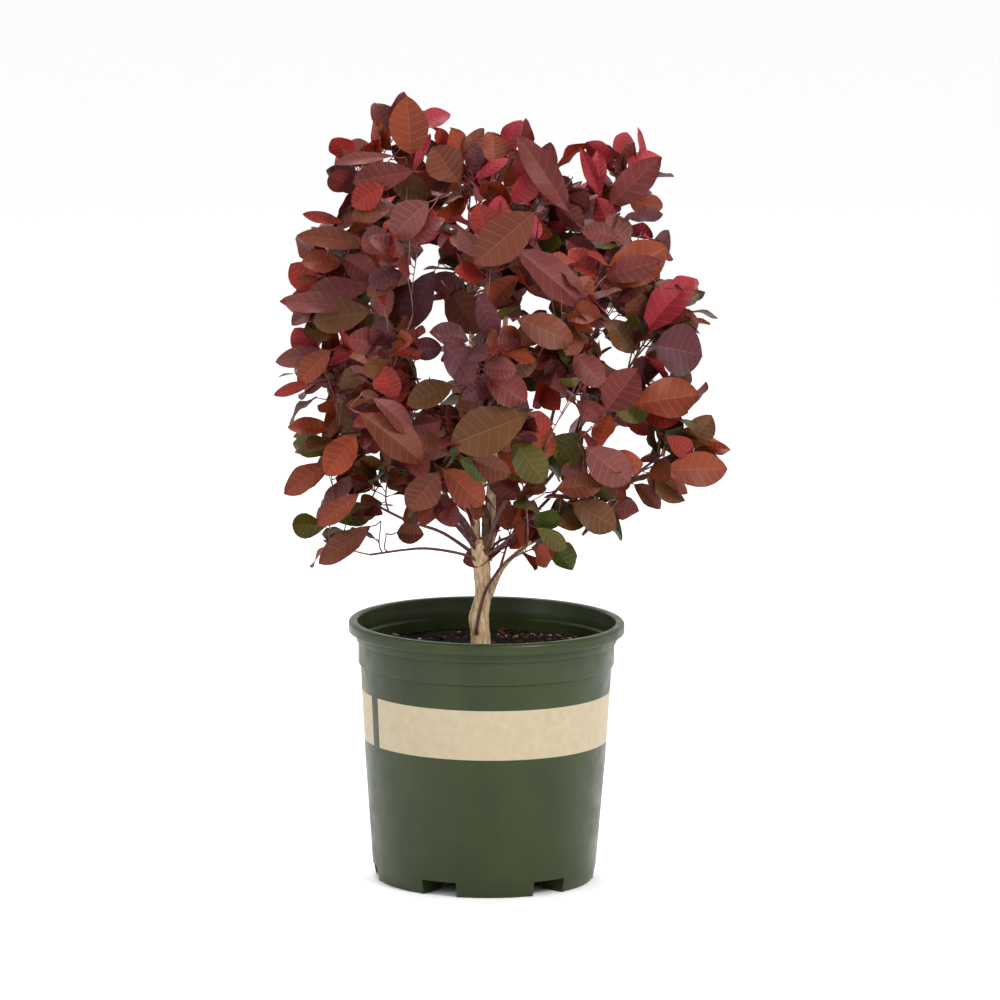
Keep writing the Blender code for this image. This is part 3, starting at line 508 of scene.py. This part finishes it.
class PLANT_OT_potting_mix(bpy.types.Operator):
    """Fill the pot with crumbly bark mix, and scatter chips and feed pellets on it"""

    bl_idname = "smoke_bush.potting_mix"
    bl_label = "Potting mix"

    def execute(self, context):
        top = [(SOIL_RADIUS * (1 - ring / SOIL_RINGS), SOIL_LEVEL) for ring in range(SOIL_RINGS + 1)]
        side = [(0, 18.2), (84.5, 18.2), (84.5, 2.5), (107, 2.5), (112, 28), (119.4, 123), (125, STEP_BOTTOM)]
        body = turned(side + top, SOIL_STEPS)
        for vertex in body.verts:
            if vertex.co.z > (SOIL_LEVEL - 1) * MM:
                offset = (vertex.co - AXIS) / MM
                vertex.co.z = soil_height(offset.x, offset.y) * MM
        damp = crumbly("damp_bark_mix", linear("#040302"), linear("#0b0805"), linear("#1b130c"), 5.0)
        mesh = carved(plain_mesh("potting_mix", body), [
            ("DIFFERENCE", block(angle, CHANNEL_HALF_ANGLE + 1.8, FOOT_INNER - 3, RIM_RADIUS, -3, 18.0))
            for angle in CHANNEL_ANGLES])
        show("potting_mix", mesh, [damp], "potting_mix", "soil")
        self.scatter_chips()
        return {"FINISHED"}

    def scatter_chips(self):
        """Shreds of bark, wood and peat lying on the mix, and a few slow-release pellets."""
        random = Random(31)
        chips = [crumbly("bark_chip_dark", linear("#0c0805"), linear("#1a120c"), linear("#2b1e14"), 3.0),
                 crumbly("bark_chip_brown", linear("#22160f"), linear("#382519"), linear("#513827"), 3.0),
                 crumbly("bark_chip_red", linear("#3a2118"), linear("#553326"), linear("#714b39"), 3.0),
                 crumbly("wood_shred_pale", linear("#5e4934"), linear("#7c6348"), linear("#9d8461"), 3.0)]
        body = bmesh.new()
        for _ in range(CHIP_COUNT):
            radius, turn = CHIP_REACH * math.sqrt(random.random()), random.uniform(0, 2 * math.pi)
            if random.random() < CHIPS_ON_HEAP:
                radius, turn = random.uniform(50, 118), random.uniform(-0.1, 1.3)
            x, y = radius * math.cos(turn), radius * math.sin(turn)
            if math.hypot(x - TRUNK_X, y) < 13 or radius > CHIP_REACH - 2:
                continue
            size = random.uniform(2.0, 6.5) * (1.35 if random.random() < LARGE_CHIPS else 1.0)
            sides = (size, size * random.uniform(0.35, 0.75), size * random.uniform(0.15, 0.4))
            made = bmesh.ops.create_cube(body, size=1)["verts"]
            for vertex in made:
                vertex.co = Vector([
                    value * side * random.uniform(0.75, 1.15) * MM for value, side in zip(vertex.co, sides)])
            tilt = Matrix.Rotation(random.uniform(-0.5, 0.5), 3, "X")
            tilt @= Matrix.Rotation(random.uniform(-0.5, 0.5), 3, "Y")
            bmesh.ops.rotate(body, verts=made, matrix=Matrix.Rotation(random.uniform(0, 6.3), 3, "Z") @ tilt)
            place = AXIS + Vector((x, y, soil_height(x, y) + sides[2] * 0.25)) * MM
            bmesh.ops.translate(body, verts=made, vec=place)
            tone = random.choices(range(4), CHIP_TONES)[0]
            for face in {face for vertex in made for face in vertex.link_faces}:
                face.material_index = tone
        show("bark_chips", plain_mesh("bark_chips", body), chips, "potting_mix", smooth=False)
        body = bmesh.new()
        teal, _, shader = blank_material("feed_pellet_teal", 0.5)
        shader.inputs["Base Color"].default_value = rgba(linear("#5f9a86"))
        tan, _, shader = blank_material("feed_pellet_tan", 0.5)
        shader.inputs["Base Color"].default_value = rgba(linear("#6b5636"))
        for number in range(PELLET_COUNT):
            x, y = (34, 12) if number == 0 else (random.uniform(-95, 95), random.uniform(-80, 100))
            if math.hypot(x, y) > 118 or math.hypot(x - TRUNK_X, y) < 16:
                continue
            size = random.uniform(1.3, 1.9) * MM
            made = bmesh.ops.create_icosphere(body, subdivisions=2, radius=size)["verts"]
            bmesh.ops.translate(body, verts=made, vec=AXIS + Vector((x, y, soil_height(x, y) + 0.8)) * MM)
            for face in {face for vertex in made for face in vertex.link_faces}:
                face.material_index = 0 if number % 4 == 0 else 1
        show("feed_pellets", plain_mesh("feed_pellets", body), [teal, tan], "potting_mix")


def smooth_run(bends, step_mm):
    """(place, radius) along a Catmull-Rom curve through the bends, in metres in the frame."""
    points = [AXIS + Vector(bend[:3]) * MM for bend in bends]
    radii = [bend[3] * MM for bend in bends]
    before = [2 * points[0] - points[1]] + points
    after = points + [2 * points[-1] - points[-2]]
    run = []
    for span in range(len(points) - 1):
        a, b, c, d = before[span], points[span], points[span + 1], after[span + 2]
        samples = max(2, round((c - b).length / (step_mm * MM)))
        for step in range(samples):
            t = step / samples
            place = 0.5 * (2 * b + (c - a) * t + (2 * a - 5 * b + 4 * c - d) * t**2
                           + (3 * b - a - 3 * c + d) * t**3)
            run.append((place, radii[span] + t * (radii[span + 1] - radii[span])))
    run.append((points[-1], radii[-1]))
    return run


def tube_mesh(name, runs, resolution):
    """Tapering tubes with closed ends: one bevelled curve with a spline for each run."""
    curve = bpy.data.curves.new(name, "CURVE")
    curve.dimensions = "3D"
    curve.bevel_depth = 1
    curve.bevel_resolution = resolution
    curve.use_fill_caps = True
    for run in runs:
        spline = curve.splines.new("POLY")
        spline.points.add(len(run) - 1)
        for point, (place, radius) in zip(spline.points, run):
            point.co = (*place, 1)
            point.radius = radius
    obj = bpy.data.objects.new(name, curve)
    bpy.context.scene.collection.objects.link(obj)
    mesh = bpy.data.meshes.new_from_object(obj.evaluated_get(bpy.context.evaluated_depsgraph_get()))
    bpy.data.objects.remove(obj, do_unlink=True)
    body = bmesh.new()
    body.from_mesh(mesh)
    bmesh.ops.remove_doubles(body, verts=body.verts, dist=0.001 * MM)
    bmesh.ops.recalc_face_normals(body, faces=body.faces)
    return body


def roughen(body, ridge, lump):
    """Bark relief: fine ridges along the wood, and lumps."""
    body.normal_update()
    for vertex in body.verts:
        place = vertex.co / MM
        fine = noise.noise(Vector((place.x * 0.9, place.y * 0.9, place.z * 0.16)))
        coarse = noise.noise(place / 9)
        vertex.co += vertex.normal * (fine * ridge + coarse * lump) * MM


class PLANT_OT_bark(bpy.types.Operator):
    """Grow the trunk, its two leaders, the pruned stub and the boughs, with the relief of their bark"""

    bl_idname = "smoke_bush.bark"
    bl_label = "Trunk and boughs"

    def execute(self, context):
        colours = context.scene.smoke_bush_colours
        pale = [smooth_run(TRUNK_BENDS, 0.9)] + [smooth_run(bends, 1.2) for bends in PALE_LIMBS.values()]
        body = tube_mesh("pale_wood", pale, 8)
        roughen(body, 0.22, 0.55)
        bark = pale_bark(colours)
        show("pale_wood", plain_mesh("pale_wood", body), [bark], "bark_pale", "trunk", *PALE_LIMBS)
        body = tube_mesh("dark_stub", [smooth_run(bends, 0.8) for bends in DARK_LIMBS.values()], 8)
        roughen(body, 1.5, 0.9)
        # The stub's near-black brown is partly its dry flaking bark and partly painted shade where it stands
        # in shadow.
        dark = brown_bark("flaking_bark_and_painted_shade", linear("#1d1310"), linear("#5d4330"), 0.9)
        show("dark_stub", plain_mesh("dark_stub", body), [dark], "bark_dark", *DARK_LIMBS)
        body = tube_mesh("brown_boughs", [smooth_run(bends, 1.5) for bends in BROWN_LIMBS.values()], 3)
        roughen(body, 0.16, 0.12)
        brown = brown_bark("one_year_bark", linear("#3b1d1d"), linear("#6f4038"), 0.5)
        show("brown_boughs", plain_mesh("brown_boughs", body), [brown], "bark_brown", *BROWN_LIMBS)
        return {"FINISHED"}


def leaf_outline(t, shape):
    """Half-width of the blade at t from its foot to its tip, as a share of the widest."""
    return 0.03 + 0.97 * math.sin(math.pi * min(max(t, 0), 1) ** shape) ** 0.72


def row_marks(length):
    """Places of the grid's rows along the midrib: a thin row for each vein, with blade between."""
    half = VEIN_WIDTH / length / 2
    marks = [0.0]
    for pair in range(VEIN_PAIRS):
        middle = 0.10 + 0.78 * pair / (VEIN_PAIRS - 1)
        marks += [middle - half, middle + half]
    return marks + [1.0]


class Leaf:
    """One leaf: where its blade starts, its axis and face, its sizes and how it is bent."""

    def __init__(self, base, axis, face, length, width, tint, random):
        self.base = base
        self.axis = axis.normalized()
        self.face = (face - self.axis * face.dot(self.axis)).normalized()
        self.length = length
        self.width = width
        self.tint = tint
        self.shape = random.uniform(1.0, 1.28)
        self.curl = random.uniform(0.1, 0.75)
        self.fold = random.uniform(0.05, 0.38)
        self.wave = random.uniform(0.015, 0.05)
        self.phase = random.uniform(0, 6.3)
        self.twist = random.uniform(-0.25, 0.25)

    def place(self, across, along):
        """The point of the blade at shares across (-1 to 1) and along (0 to 1)."""
        side = abs(across)
        t = along + VEIN_SLANT * side * math.sin(math.pi * along)
        x = across * self.width / 2 * leaf_outline(t, self.shape)
        turn = self.curl * t
        y = self.length * math.sin(turn) / self.curl
        z = -self.length * (1 - math.cos(turn)) / self.curl
        z += abs(x) * self.fold + self.wave * self.length * side * side * math.sin(11 * t + self.phase)
        z += x * self.twist * t
        return self.base + self.axis.cross(self.face) * x + self.axis * y + self.face * z

    def add_to(self, body):
        """Adds the blade to a bmesh, from a grid whose rows and columns become veins and blade."""
        marks = row_marks(self.length)
        columns, rows = len(ACROSS) - 1, len(marks) - 1
        made = bmesh.ops.create_grid(body, x_segments=columns, y_segments=rows, size=0.5)["verts"]
        first_slot = 3 * TINT_NAMES.index(self.tint)
        for face in {face for vertex in made for face in vertex.link_faces}:
            middle = face.calc_center_median()
            column = int((middle.x + 0.5) * columns)
            row = int((middle.y + 0.5) * rows)
            is_vein = column == MIDRIB_COLUMN or row % 2 == 1
            # The half right of the midrib takes the tint's darker copy, as painted shade.
            face.material_index = first_slot + (2 if is_vein else int(column > MIDRIB_COLUMN))
        for vertex in made:
            column = round((vertex.co.x + 0.5) * columns)
            row = round((vertex.co.y + 0.5) * rows)
            vertex.co = self.place(ACROSS[column], marks[row])


def surface_of(node):
    """A search tree of a CAD node's faces."""
    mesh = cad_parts[node].data
    corners = [vertex.co for vertex in mesh.vertices]
    return BVHTree.FromPolygons(corners, [face.vertices for face in mesh.polygons])


def covers_sky(leaf):
    """Whether the blade, seen from the front, hangs across one of the see-through gaps."""
    for along in (0.15, 0.4, 0.65, 0.9):
        for across in (-0.8, 0, 0.8):
            point = (leaf.place(across, along) - AXIS) / MM
            seen = point.z + RISE_WITH_DEPTH * point.y
            for gap_x, gap_z, radius in SKY_GAPS:
                if math.hypot(point.x - gap_x, seen - gap_z) < radius + 1:
                    return True
    return False


class Growth:
    """The crown as it grows: the wood to grow from, new twigs, leaf stalks, and the leaves of each region."""

    def __init__(self, sizes):
        self.sizes = sizes
        self.random = Random(sizes.seed)
        self.wood = []
        self.twigs = []
        self.stalks = []
        self.leaves = {region: [] for region in REGIONS}
        self.leaves["leaves_seen"] = []
        self.shown = []
        self.shoots = {}
        for bends in list(PALE_LIMBS.values()) + list(BROWN_LIMBS.values()):
            self.add_wood(smooth_run(bends, 6))

    def add_wood(self, run):
        for number, (place, radius) in enumerate(run):
            other = run[min(number + 1, len(run) - 1)][0] - run[max(number - 1, 0)][0]
            self.wood.append((place, other.normalized(), radius))

    def nearest_wood(self, goal):
        """The wood that a shoot to the goal leaves from: near, and not above it."""
        def cost(station):
            place = station[0]
            return (place - goal).length + 1.5 * max(place.z - goal.z + 15 * MM, 0)
        return min(self.wood, key=cost)

    def grow_twig(self, foot, heading, goal, start_radius, end_radius):
        """A twig that leaves its wood along the wood's own heading and bends up to the goal."""
        span = (goal - foot).length
        side = self.random.uniform(-0.08, 0.08) * span
        across = (goal - foot).cross(UP)
        across = across.normalized() if across.length > 0 else Vector((1, 0, 0))
        first = foot + (heading * 0.6 + (goal - foot).normalized()) * span * 0.28 + across * side
        second = goal - ((goal - foot).normalized() + UP * 0.5).normalized() * span * 0.3
        count = max(3, round(span / (7 * MM)))
        run = []
        for step in range(count + 1):
            t = step / count
            place = (foot * (1 - t)**3 + first * 3 * t * (1 - t)**2
                     + second * 3 * t * t * (1 - t) + goal * t**3)
            run.append((place, start_radius + (end_radius - start_radius) * t))
        self.twigs.append(run)
        self.add_wood(run)
        return run

    def add_stalk(self, start, end, radius):
        sag = Vector((0, 0, -0.08 * (end - start).length))
        middle = (start + end) / 2 + sag
        self.stalks.append([(start, radius * 1.15), (middle, radius), (end, radius * 0.8)])

    def pick_tint(self, height, is_tip):
        if is_tip and height > YOUNG_TIPS_ABOVE:
            return self.random.choice(TIP_TINTS)
        tints = HIGH_TINTS if height > HIGH_ABOVE else MIDDLE_TINTS if height > MIDDLE_ABOVE else LOW_TINTS
        return self.random.choice(tints)

    def is_in_front_of_shown(self, leaf):
        """Whether the leaf would hide one that was placed from the photo."""
        for along in (0.3, 0.6, 0.9):
            point = leaf.place(0, along)
            seen = point.z + RISE_WITH_DEPTH * (point.y - AXIS.y)
            for other_x, other_z, reach, depth in self.shown:
                if point.y < depth + 12 * MM and math.hypot(point.x - other_x, seen - other_z) < reach:
                    return True
        return False

    def hang_seen_leaves(self):
        """The leaves placed after the photo, each where the sight line to its middle meets the masses."""
        random = self.random
        surfaces = [surface_of("mass_" + name) for names in REGIONS.values() for name in names]
        eye = AXIS + Vector((AIM_RIGHT, -CAMERA_DISTANCE, CAMERA_HEIGHT))
        for tip_x, tip_z, foot_x, foot_z, width, tint in SEEN_LEAVES:
            middle = AXIS + Vector(((tip_x + foot_x) / 2, 0, (tip_z + foot_z) / 2)) * MM
            sight = (middle - eye).normalized()
            hits = [hit[0] for hit in (surface.ray_cast(eye, sight) for surface in surfaces) if hit[0]]
            near = min(hits, key=lambda point: point.y).y if hits else AXIS.y
            near += random.uniform(-4, 4) * MM
            ends = []
            for x, z, forward in ((foot_x, foot_z, 0), (tip_x, tip_z, random.uniform(-14, 6))):
                goal = AXIS + Vector((x, 0, z)) * MM
                depth = near + forward * MM
                ends.append(eye + (goal - eye) * ((depth - eye.y) / (goal.y - eye.y)))
            base, tip = ends
            face = Vector((random.uniform(-0.4, 0.4), -1, 0.45 + random.uniform(-0.25, 0.35)))
            leaf = Leaf(base, tip - base, face, (tip - base).length * 1.04, width * 1.08 * MM, tint, random)
            leaf.curl = random.uniform(0.2, 0.6)
            leaf.fold = random.uniform(0.08, 0.34)
            self.leaves["leaves_seen"].append(leaf)
            self.shown.append((middle.x, middle.z, 0.42 * (tip - base).length, near))
            joint = base - (tip - base).normalized() * 12 * MM + Vector((0, 10 * MM, -3 * MM))
            station = self.nearest_wood(joint)
            self.grow_twig(station[0], station[1], joint, min(station[2] * 0.7, 1.0 * MM), 0.6 * MM)
            self.add_stalk(joint, base, self.sizes.stalk_radius * 1.2)

    def leaf_spray(self, region, run, surface, centre, count):
        """Leaves round the upper part of a shoot, by the golden angle, reaching to the mass's surface."""
        random = self.random
        start = random.uniform(0, 6.3)
        for number in range(count):
            share = BARE_FOOT + (1 - BARE_FOOT) * (number + 0.5) / count
            place = run[round(share * (len(run) - 1))][0]
            ahead = run[-1][0] - run[max(len(run) - 4, 0)][0]
            ahead.normalize()
            off_axis = math.radians(105 - 80 * share + random.uniform(-12, 12))
            around = ahead.orthogonal().normalized()
            around.rotate(Matrix.Rotation(start + number * GOLDEN_ANGLE, 3, ahead))
            heading = (ahead * math.cos(off_axis) + around * math.sin(off_axis)).normalized()
            hit = surface.ray_cast(place + heading * 0.5 * MM, heading)
            reach = min((hit[3] or REACH_IF_OPEN) * random.uniform(0.92, 1.05), LONGEST_REACH)
            longest = self.sizes.leaf_length * random.uniform(0.8, 1.12)
            length = min(max(reach * 0.72, self.sizes.smallest_leaf), longest)
            stalk = min(max(reach - length * 0.92, 5 * MM), self.sizes.stalk_length * 1.6)
            base = place + heading * stalk
            outward = base - centre
            outward.z *= 0.6
            outward = outward.normalized() if outward.length > 0 else UP
            face = outward * 0.75 + UP * 0.55
            face += Vector([random.uniform(-0.45, 0.45) for _ in range(3)])
            droop = (heading + Vector((0, 0, random.uniform(-0.55, 0.1)))).normalized()
            if number % LEAVES_PER_TINT == 0:
                spray_tint = self.pick_tint(base.z, share > TIP_SHARE)
            leaf = Leaf(base, droop, face, length, length * random.uniform(0.56, 0.72), spray_tint, random)
            if covers_sky(leaf) or self.is_in_front_of_shown(leaf):
                continue
            self.leaves[region].append(leaf)
            self.add_stalk(place, base, self.sizes.stalk_radius)

    def start_shoots(self, name):
        """The few shoots that run through one mass."""
        low, high = (Vector(corner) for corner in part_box("mass_" + name))
        centre, size = (low + high) / 2, high - low
        surface = surface_of("mass_" + name)
        foot, heading, radius = self.nearest_wood(centre)
        area = size.x * size.z + size.x * size.y + size.y * size.z
        shoots = 2 if area < 0.018 else 3 if area < 0.036 else 4
        spread = centre - AXIS
        spread.z = 0
        runs = []
        for number in range(shoots):
            growth = UP * 0.8 + spread.normalized() * 0.35 + (centre - foot).normalized() * 0.4
            turn = number * 2 * math.pi / shoots + centre.x * 40
            growth = (growth + Vector((math.cos(turn), math.sin(turn), 0)) * 0.95).normalized()
            hit = surface.ray_cast(centre, growth)
            goal = centre + growth * (hit[3] or 20 * MM) * 0.66
            if number:
                foot, heading, radius = self.nearest_wood((centre + low) / 2)
            runs.append(self.grow_twig(foot, heading, goal, min(radius * 0.8, 1.9 * MM), 0.65 * MM))
        self.shoots[name] = (runs, surface, centre, max(5, round(area * self.sizes.density / shoots)))

    def fill_mass(self, region, name):
        """Replaces one mass by the leaves of its shoots."""
        runs, surface, centre, count = self.shoots[name]
        for run in runs:
            self.leaf_spray(region, run, surface, centre, count)


def tint_materials():
    """Three materials for each tint: the blade's lit half, its other half darkened as painted shade, and its
    veins.
    """
    materials = []
    for name, code in TINTS.items():
        blade = Vector(linear(code))
        vein = blade * VEIN_LIGHTER + Vector(VEIN_GLEAM)
        materials.append(leaf_blade("leaf_" + name, blade))
        materials.append(leaf_blade("leaf_" + name + "_painted_shade", blade * PAINTED_SHADE_HALF))
        materials.append(leaf_blade("leaf_" + name + "_vein", vein))
    return materials


class PLANT_OT_crown(bpy.types.Operator):
    """Grow twigs on from the limbs through each foliage mass, and hang their leaves in sprays"""

    bl_idname = "smoke_bush.crown"
    bl_label = "Twigs and leaves"

    def execute(self, context):
        growth = Growth(context.scene.smoke_bush_sizes)
        order = sorted(
            ((region, name) for region, names in REGIONS.items() for name in names),
            key=lambda pair: (Vector(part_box("mass_" + pair[1])[0]) - AXIS - UP * FORK_HEIGHT).length)
        for region, name in order:
            growth.start_shoots(name)
        growth.hang_seen_leaves()
        for region, name in order:
            growth.fill_mass(region, name)
        materials = tint_materials()
        for region, names in [*REGIONS.items(), ("leaves_seen", ())]:
            body = bmesh.new()
            for leaf in growth.leaves[region]:
                leaf.add_to(body)
            masses = ["mass_" + name for name in names]
            show(region, plain_mesh(region, body), materials, "leaf_wine", *masses)
        twig = brown_bark("green_wood_bark", linear("#4a2426"), linear("#86534a"), 0.5)
        body = tube_mesh("twigs", growth.twigs, 1)
        show("twigs", plain_mesh("twigs", body), [twig], "bark_brown")
        stalk = leaf_blade("leaf_stalk", linear("#74302f"), 0.45)
        body = tube_mesh("leaf_stalks", growth.stalks, 0)
        show("leaf_stalks", plain_mesh("leaf_stalks", body), [stalk], "leaf_rose")
        return {"FINISHED"}


def area_light(name, place, size, watts, colour):
    data = bpy.data.lights.new(name, "AREA")
    data.shape = "DISK"
    data.size = size
    data.energy = watts
    data.color = colour
    lamp = bpy.data.objects.new(name, data)
    bpy.context.scene.collection.objects.link(lamp)
    lamp.location = AXIS + Vector(place)
    lamp.rotation_euler = (AXIS + Vector((0, 0, 0.45)) - lamp.location).to_track_quat("-Z", "Y").to_euler()


class PLANT_OT_stage(bpy.types.Operator):
    """Lay a pale floor, hang the studio lights and set the camera"""

    bl_idname = "smoke_bush.stage"
    bl_label = "Floor, light and camera"

    def execute(self, context):
        scene = context.scene
        body = bmesh.new()
        bmesh.ops.create_grid(body, x_segments=1, y_segments=1, size=30)
        floor = bpy.data.objects.new("floor", plain_mesh("floor", body))
        scene.collection.objects.link(floor)
        material, _, shader = blank_material("pale_floor", 0.9)
        shader.inputs["Base Color"].default_value = (0.97, 0.97, 0.97, 1)
        floor.data.materials.append(material)
        world = bpy.data.worlds.new("studio")
        world.use_nodes = True
        world.node_tree.nodes["Background"].inputs["Color"].default_value = (1, 1, 1, 1)
        world.node_tree.nodes["Background"].inputs["Strength"].default_value = 1.0
        scene.world = world
        area_light("key_light", (1.5, -1.7, 1.9), 0.9, 46, (1.0, 0.98, 0.95))
        area_light("fill_light", (-2.0, -1.6, 1.2), 1.6, 14, (0.95, 0.98, 1.0))
        area_light("top_light", (-0.3, 0.9, 2.4), 1.2, 40, (1.0, 1.0, 1.0))
        scene.view_settings.view_transform = "Standard"
        data = bpy.data.cameras.new("camera")
        data.sensor_width = 36
        data.lens = CAMERA_LENS
        data.clip_end = 200
        camera = bpy.data.objects.new("camera", data)
        scene.collection.objects.link(camera)
        camera.location = AXIS + Vector((AIM_RIGHT, -CAMERA_DISTANCE, CAMERA_HEIGHT))
        aim = AXIS + Vector((AIM_RIGHT, 0, AIM_HEIGHT))
        facing = (aim - camera.location).to_track_quat("-Z", "Y").to_matrix()
        camera.rotation_euler = (facing @ Matrix.Rotation(CAMERA_ROLL, 3, "Z")).to_euler()
        scene.camera = camera
        return {"FINISHED"}


class SmokeBushSizes(bpy.types.PropertyGroup):
    """Sizes of the crown's leaves"""

    leaf_length: FloatProperty(name="Leaf length", description="Length of a full-grown blade", default=0.068,
                               min=0.02, unit="LENGTH")
    smallest_leaf: FloatProperty(name="Smallest leaf", description="Length of the smallest blade",
                                 default=0.041, min=0.01, unit="LENGTH")
    stalk_length: FloatProperty(name="Stalk length", description="Length of a leaf's stalk", default=0.018,
                                min=0.004, unit="LENGTH")
    stalk_radius: FloatProperty(name="Stalk radius", description="Radius of a leaf's stalk", default=0.0006,
                                min=0.0002, unit="LENGTH")
    density: FloatProperty(name="Density", description="Leaves for each square metre of a mass's three sides",
                           default=1350, min=100)
    seed: IntProperty(name="Seed", description="Start of the random draws of the crown", default=7, min=0)


class SmokeBushColours(bpy.types.PropertyGroup):
    """Colours of the pot and the old wood"""

    pot_green: FloatVectorProperty(name="Pot green", description="Colour of the pot's plastic",
                                   default=linear("#283212"), min=0, max=1, subtype="COLOR")
    band_beige: FloatVectorProperty(name="Band beige", description="Colour of the printed band",
                                    default=linear("#a89a7f"), min=0, max=1, subtype="COLOR")
    bark_pale: FloatVectorProperty(name="Pale bark", description="Colour of the trunk's bark",
                                   default=linear("#b4946e"), min=0, max=1, subtype="COLOR")


class PLANT_PT_panel(bpy.types.Panel):
    """Buttons for each part of the plant"""

    bl_idname = "PLANT_PT_panel"
    bl_label = "Smoke bush"
    bl_space_type = "VIEW_3D"
    bl_region_type = "UI"
    bl_category = "Smoke bush"

    def draw(self, context):
        for group in (context.scene.smoke_bush_sizes, context.scene.smoke_bush_colours):
            for name in group.__annotations__:
                self.layout.prop(group, name)
        for operator in OPERATORS:
            self.layout.operator(operator.bl_idname)


OPERATORS = (PLANT_OT_pot, PLANT_OT_potting_mix, PLANT_OT_bark, PLANT_OT_crown, PLANT_OT_stage)
CLASSES = (SmokeBushSizes, SmokeBushColours) + OPERATORS + (PLANT_PT_panel,)


def register():
    for item in CLASSES:
        bpy.utils.register_class(item)
    bpy.types.Scene.smoke_bush_sizes = PointerProperty(type=SmokeBushSizes)
    bpy.types.Scene.smoke_bush_colours = PointerProperty(type=SmokeBushColours)


def unregister():
    del bpy.types.Scene.smoke_bush_colours
    del bpy.types.Scene.smoke_bush_sizes
    for item in reversed(CLASSES):
        bpy.utils.unregister_class(item)


def main():
    register()
    bpy.ops.smoke_bush.pot()
    bpy.ops.smoke_bush.potting_mix()
    bpy.ops.smoke_bush.bark()
    bpy.ops.smoke_bush.crown()
    bpy.ops.smoke_bush.stage()


if __name__ == "__main__":
    main()
